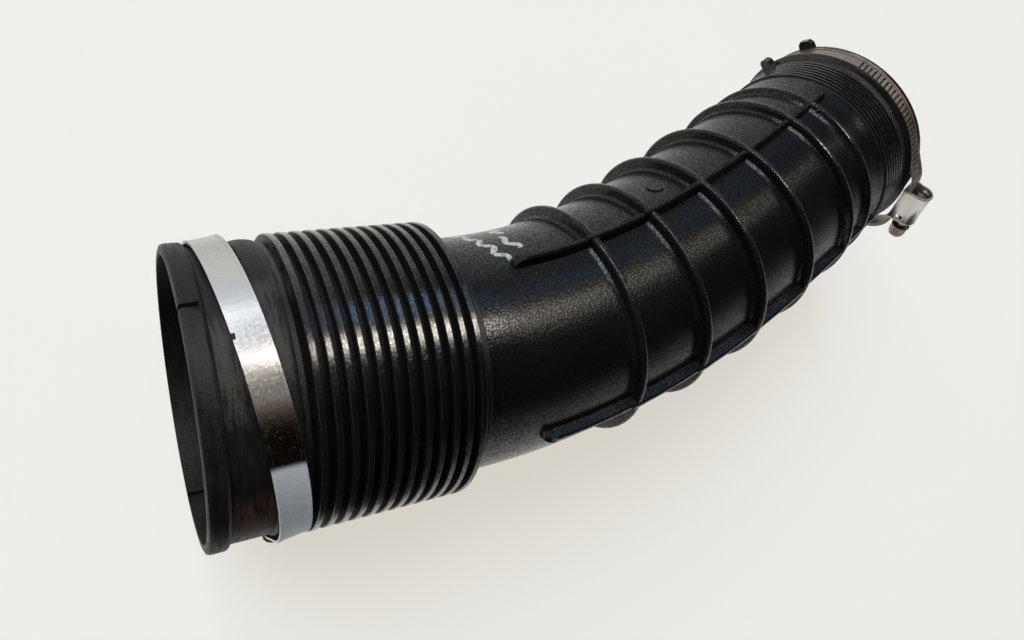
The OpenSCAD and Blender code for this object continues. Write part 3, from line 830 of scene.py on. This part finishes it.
def wavy_stroke(start, end, waves, swing, steps):
    """(distance, angle) pairs of a wavy line from start to end, with its swing in mm."""
    run, rise = end[0] - start[0], (end[1] - start[1]) * DEGREE_MM
    length = math.hypot(run, rise)
    points = []
    for k in range(steps + 1):
        share = k / steps
        sway = swing * math.sin(2 * math.pi * waves * share) * (1 - 0.35 * share) / length
        points.append((start[0] + run * share - rise * sway,
                       start[1] + (rise * share + run * sway) / DEGREE_MM))
    return points


def stroke_ribbon(path, width, chance):
    """A low ribbon along a path on the tube, rounded across."""
    found = [surface_at(nodes["duct_tube"], *first_bay(along), angle) for along, angle in path]
    places = [place for place, _ in found]
    rings = []
    for k, (place, normal) in enumerate(found):
        ahead = (places[min(k + 1, len(places) - 1)] - places[max(k - 1, 0)]).normalized()
        side = normal.cross(ahead).normalized()
        end_share = min(1.0, (k + 1) / STROKE_ENDS, (len(found) - k) / STROKE_ENDS)
        half = width / 2 * MM * end_share * (0.85 + 0.3 * chance.random())
        rings.append([place + side * half * u + normal * h * MM for u, h in STROKE_SECTION])
    return mesh_from_rings(rings)


CHANCE = random.Random(31)
PAINT_FINISH = make_paint_finish()
STROKES = [wavy_stroke((101, 45), (92, 8), waves=4.0, swing=1.9, steps=110),
           wavy_stroke((109, 38), (106, 24), waves=1.5, swing=1.8, steps=60),
           wavy_stroke((108, 20), (111, 4), waves=2.5, swing=1.7, steps=80)]
RIBBONS = [stroke_ribbon(path, STROKE_WIDTH, CHANCE) for path in STROKES]
paint = make_piece("paint_pen_strokes", RIBBONS, PAINT_FINISH, "duct", smooth_angle=60)
print("paint strokes:", len(STROKES), "with", len(paint.data.vertices), "points")

# %% [markdown]
# A mould leaves small nibs of plastic where its gates were. They are low domes, made from rings
# that shrink as they rise, and each stands square on the surface that it was found on. Three sit on
# the tube and one on the small cuff.

# %% Gate nibs
NIB_R, NIB_H, NIB_LEVELS, NIB_POINTS = 0.85, 0.55, 4, 14
NIB_SINK = 0.08


def gate_nib(place, normal):
    across = normal.orthogonal().normalized()
    up = normal.cross(across)
    turns = [2 * math.pi * k / NIB_POINTS for k in range(NIB_POINTS)]
    rings = []
    for level in range(NIB_LEVELS + 1):
        lift = math.pi / 2 * level / NIB_LEVELS
        radius, height = NIB_R * max(0.12, math.cos(lift)), NIB_H * math.sin(lift) - NIB_SINK
        rings.append([place + ((across * math.cos(t) + up * math.sin(t)) * radius
                               + normal * height) * MM for t in turns])
    return mesh_from_rings(rings)


def small_end_line(along):
    origin, degrees = SMALL_END
    heading = math.radians(degrees)
    return origin / MM + Vector((math.cos(heading), math.sin(heading), 0)) * along, heading


def gate_nibs(name, node, spots, finish):
    parts = [gate_nib(*surface_at(node, *spot)) for spot in spots]
    make_piece(name, parts, finish, "duct", smooth_angle=60)


TUBE_NIBS = [(*first_bay(108.5), 55.5), (*small_end_line(-28.9), 53.5),
             (*small_end_line(-15.9), 55.0)]
CUFF_NIBS = [(*small_end_line(16.0), 82.8)]
gate_nibs("tube_gate_nibs", nodes["duct_tube"], TUBE_NIBS, TUBE_FINISH)
gate_nibs("cuff_gate_nib", nodes["small_cuff"], CUFF_NIBS, SMALL_CUFF_FINISH)
print("gate nibs:", len(TUBE_NIBS) + len(CUFF_NIBS))

# %% [markdown]
# ## Table, light and camera
# The duct lies on a pale table. Part of the table's brightness is its own glow, which keeps the
# shadows on it faint. The room over it is dim and its walls are pale, so that black plastic stays
# black on top and still catches the walls low down. A dark card stands where the person with the
# camera stood, and shows in reflections only.

# %% Table and room
TABLE_SIZE, TABLE_COLOUR = 12, (0.8, 0.9, 0.98, 1)
GLOW_COLOUR, GLOW_STRENGTH, GLOW_SHARE = (1.0, 0.94, 0.845, 1), 1.1, 0.6
WALL_PALE, WALL_BRIGHT, WALL_DARK = ((0.56, 0.555, 0.55, 1), (0.84, 0.88, 0.93, 1),
                                     (0.02, 0.02, 0.02, 1))
CEILING_DARK, CEILING_LIGHT = (0.008, 0.008, 0.009, 1), (0.3, 0.29, 0.28, 1)
CARD_LEFT, CARD_COLOUR = -0.45, (0.02, 0.02, 0.02, 1)


def make_table():
    bpy.ops.mesh.primitive_plane_add(size=TABLE_SIZE, location=(0, 0, FLOOR_Z))
    table = bpy.context.object
    table.name = "table"
    material, tree, shader = new_finish("table_white", Roughness=0.9, Specular_IOR_Level=0.1)
    shader.inputs["Base Color"].default_value = TABLE_COLOUR
    glow = add_node(tree, "Emission", Color=GLOW_COLOUR, Strength=GLOW_STRENGTH)
    path = add_node(tree, "LightPath").outputs
    seen = arithmetic(tree, "MAXIMUM", path["Is Camera Ray"], path["Is Glossy Ray"])
    seen = arithmetic(tree, "MAXIMUM", seen, path["Is Transmission Ray"])
    both = add_node(tree, "MixShader", Fac=arithmetic(tree, "MULTIPLY", seen, GLOW_SHARE))
    tree.links.new(shader.outputs[0], both.inputs[1])
    tree.links.new(glow.outputs[0], both.inputs[2])
    tree.links.new(both.outputs[0], tree.nodes["Material Output"].inputs["Surface"])
    table.data.materials.append(material)


def make_room():
    world = bpy.data.worlds.new("room")
    bpy.context.scene.world = world
    world.use_nodes = True
    tree = world.node_tree
    towards = add_node(tree, "TexCoord").outputs["Generated"]
    axes = add_node(tree, "SeparateXYZ", Vector=towards).outputs
    flat = add_node(tree, "CombineXYZ", X=axes["X"], Y=axes["Y"])
    level = vector_maths(tree, "NORMALIZE", flat.outputs[0])["Vector"]
    sideways = add_node(tree, "SeparateXYZ", Vector=level).outputs["Y"]
    wall = mix_colours(tree, soft_step(tree, sideways, 0.86, 0.94), WALL_PALE, WALL_BRIGHT)
    wall = mix_colours(tree, soft_step(tree, sideways, -0.88, -0.95), wall, WALL_DARK)
    # Straight across from the duct the wall stays pale nearly up to the ceiling
    tall = soft_step(tree, sideways, 0.945, 0.975)
    start = arithmetic(tree, "MULTIPLY_ADD", tall, 0.86, 0.08)
    end = arithmetic(tree, "MULTIPLY_ADD", tall, 0.54, 0.45)
    over = soft_step(tree, axes["Z"], start, end)
    ceiling = mix_colours(tree, soft_step(tree, axes["Z"], 0.94, 0.98), CEILING_DARK,
                          CEILING_LIGHT)
    colour = mix_colours(tree, over, wall, ceiling)
    tree.links.new(colour, tree.nodes["Background"].inputs["Color"])


def make_dark_card():
    levels = [(0.09, -0.135, FLOOR_Z + 0.001), (0.13, -0.19, 0.0), (0.13, -0.19, 0.4)]
    corners = [(x, y, z) for right, y, z in levels for x in (CARD_LEFT, right)]
    mesh = add_mesh("dark_card", corners, [(0, 1, 3, 2), (2, 3, 5, 4)])
    card = add_object("dark_card", mesh)
    material, _, shader = new_finish("card_black", Roughness=0.9)
    shader.inputs["Base Color"].default_value = CARD_COLOUR
    mesh.materials.append(material)
    card.visible_camera = card.visible_diffuse = False
    card.visible_shadow = card.visible_transmission = False


make_table()
make_room()
make_dark_card()
print("table, room and card made")

# %% [markdown]
# A small warm lamp, a weak warm one beside it and a cool window give the lines of light along the
# tube. They show as reflections only. Of the lamps just the big soft one lights the table, next to
# the room itself, so that the small ones throw no hard shadow on it.

# %% Lamps
LAMPS_FACE = Vector((0.05, 0.01, 0.045))


def add_lamp(name, direction, distance, length, width, colour, watts, lights_table=False):
    data = bpy.data.lights.new(name, "AREA")
    data.shape = "RECTANGLE"
    data.size, data.size_y = length, width
    data.color, data.energy = colour, watts
    lamp = add_object(name, data)
    back = Vector(direction).normalized()
    side = (Vector((1, 0, 0)) - back * back.x).normalized()
    lamp.matrix_world = (Matrix.Translation(LAMPS_FACE + back * distance)
                         @ from_axes(side, back.cross(side), back))
    lamp.visible_diffuse = lights_table


add_lamp("warm_lamp", direction=(0.345, 0.383, 0.857), distance=0.9, length=0.26, width=0.2,
         colour=(1.0, 0.93, 0.83), watts=4.6)
add_lamp("warm_bounce", direction=(0.62, 0.4, 0.68), distance=0.9, length=0.3, width=0.2,
         colour=(1.0, 0.9, 0.78), watts=0.32)
add_lamp("cool_window", direction=(0.345, 0.708, 0.616), distance=1.4, length=0.26, width=0.4,
         colour=(0.42, 0.64, 1.0), watts=1.4)
add_lamp("soft_fill", direction=(-0.4, 0.62, 0.67), distance=6.0, length=4.6, width=4.2,
         colour=(0.87, 0.94, 1.0), watts=340, lights_table=True)
print("lamps made")

# %% [markdown]
# ## The camera
# The picture was taken from above the mouth, close to the duct and with a wide lens. The camera
# stands where the rims, fins and hoops of the solids fall on the same outlines.

# %% Camera
CAMERA_PLACE = Vector((-16.457, 20.204, 240.801)) * MM
CAMERA_RIGHT = Vector((0.8713, -0.1266, 0.4740))
CAMERA_DOWN = Vector((-0.1318, -0.9910, -0.0224))
CAMERA_AHEAD = Vector((0.4726, -0.0430, -0.8802))
LENS_MM, SENSOR_MM, NEAREST = 26.5, 36.0, 0.01


def add_camera():
    data = bpy.data.cameras.new("photo_view")
    data.sensor_width, data.lens, data.clip_start = SENSOR_MM, LENS_MM, NEAREST
    camera = add_object("photo_view", data)
    turn = from_axes(CAMERA_RIGHT, -CAMERA_DOWN, -CAMERA_AHEAD)
    camera.matrix_world = Matrix.Translation(CAMERA_PLACE) @ turn
    bpy.context.scene.camera = camera


add_camera()
bpy.context.scene.view_settings.view_transform = "Standard"
print("camera stands at", tuple(round(v, 4) for v in CAMERA_PLACE))
